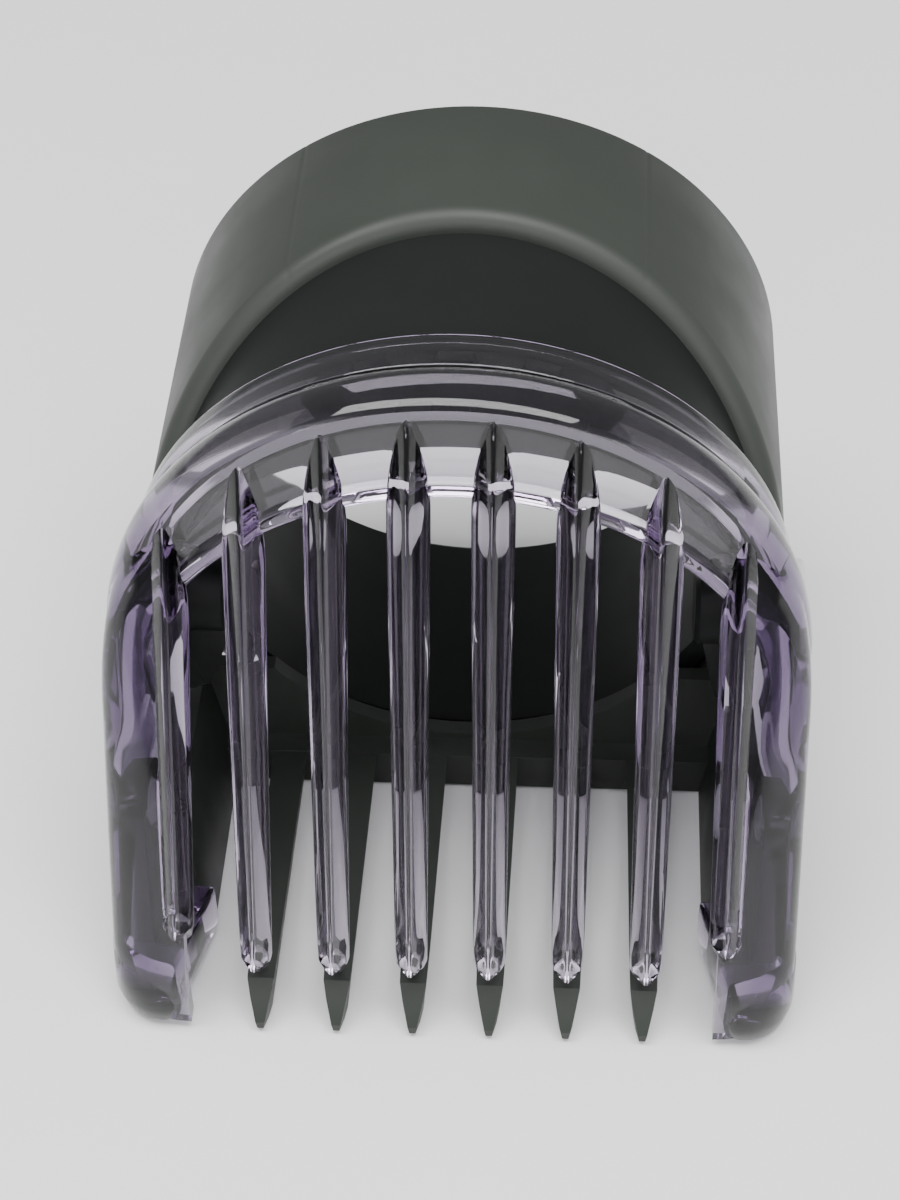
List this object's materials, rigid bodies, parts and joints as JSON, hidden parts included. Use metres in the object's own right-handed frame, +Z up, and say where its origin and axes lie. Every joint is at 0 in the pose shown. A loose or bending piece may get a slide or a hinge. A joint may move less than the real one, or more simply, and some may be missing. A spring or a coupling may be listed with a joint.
{
  "type": "clipper guard comb",
  "caption": "Slide-on guard comb for a hair clipper: round sleeve, black neck, and a clear ribbed comb that tilts on side pins over a dark tine frame.",
  "frame": {"origin": "centre of the bounding box's base, on the table the comb lies on", "axes": "+Y along the sleeve from the comb's tips to the rear rim, +Z up through the arch, +X across the comb"},
  "size_m": [0.0564, 0.0564, 0.0547],
  "materials": {
    "grey_plastic": "fine matte texture",
    "black_plastic": "matte",
    "clear_violet_plastic": "clear, polished, slightly violet",
    "dark_grey_plastic": "matte",
    "pin_steel": "turned",
    "spring_steel": "drawn wire",
    "peg_plastic": "smooth, pale"
  },
  "bodies": {
    "clipper_sleeve": {"sleeve_shell": "grey_plastic", "neck_carrier": "black_plastic"},
    "tilting_comb": {"clear_comb": "clear_violet_plastic", "tine_frame": "dark_grey_plastic", "pivot_pin_left": "pin_steel", "pivot_pin_right": "pin_steel", "return_spring_left": "spring_steel", "return_spring_right": "spring_steel", "frame_peg_left": "peg_plastic", "frame_peg_right": "peg_plastic"}
  },
  "joints": [
    {"name": "comb_tilt", "type": "hinge", "parent": "clipper_sleeve", "child": "tilting_comb", "pos_m": [0, -0.00335, 0.0265], "axis": [-1, 0, 0], "range_deg": [0, 8], "stiffness_Nm_per_rad": 0.02, "springref_deg": -20.05}
  ]
}
